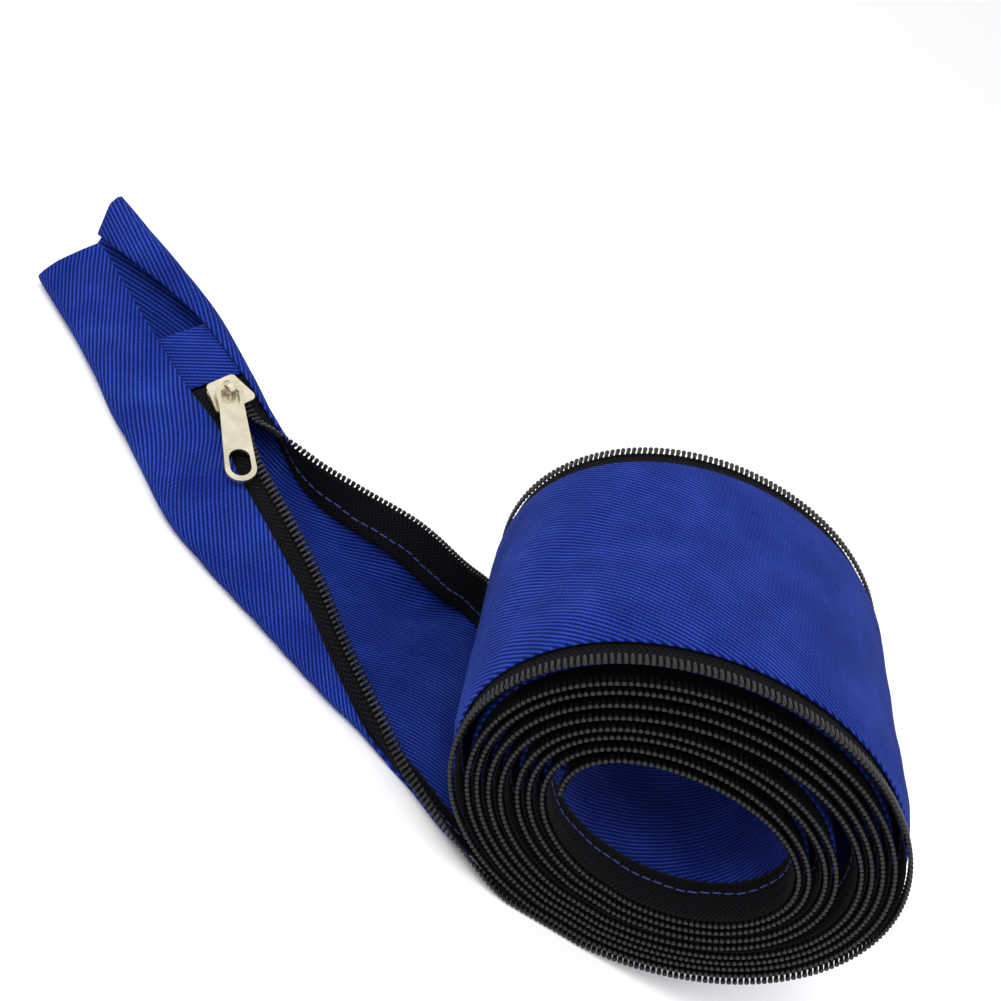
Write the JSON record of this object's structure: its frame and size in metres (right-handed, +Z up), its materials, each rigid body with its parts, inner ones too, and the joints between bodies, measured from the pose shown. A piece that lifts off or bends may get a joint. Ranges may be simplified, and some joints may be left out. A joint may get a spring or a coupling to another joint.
{
  "type": "zippered cable sleeve",
  "caption": "Rolled-up twill cable cover with a coil zip along both edges; its free end turns up into a tube that the slider closes round cables.",
  "frame": {"origin": "middle of the flat spot on which the roll rests, halfway across the strip", "axes": "+Z up, the roll's axis along Y with the camera's near face at -Y, and the free end leaves the roll towards -X"},
  "size_m": [0.2889, 0.1581, 0.1063],
  "materials": {
    "twill": "royal blue cotton twill",
    "zip_tape": "black woven polyester tape",
    "zip_coil": "black nylon coil, satin",
    "slider_metal": "nickel plated, lightly brushed"
  },
  "bodies": {
    "sleeve": {"sleeve_fabric": "twill", "end_patch": "twill", "near_zip_tape": "zip_tape", "far_zip_tape": "zip_tape", "near_coil": "zip_coil", "far_coil": "zip_coil", "slider_body": "slider_metal"},
    "tab": {"pull_tab": "slider_metal"}
  },
  "joints": [
    {"name": "pull_tab_hinge", "type": "hinge", "parent": "sleeve", "child": "tab", "pos_m": [-0.15572, 0.04496, 0.02572], "axis": [-0.7968, -0.4218, -0.4326], "range_deg": [0, 150]}
  ]
}
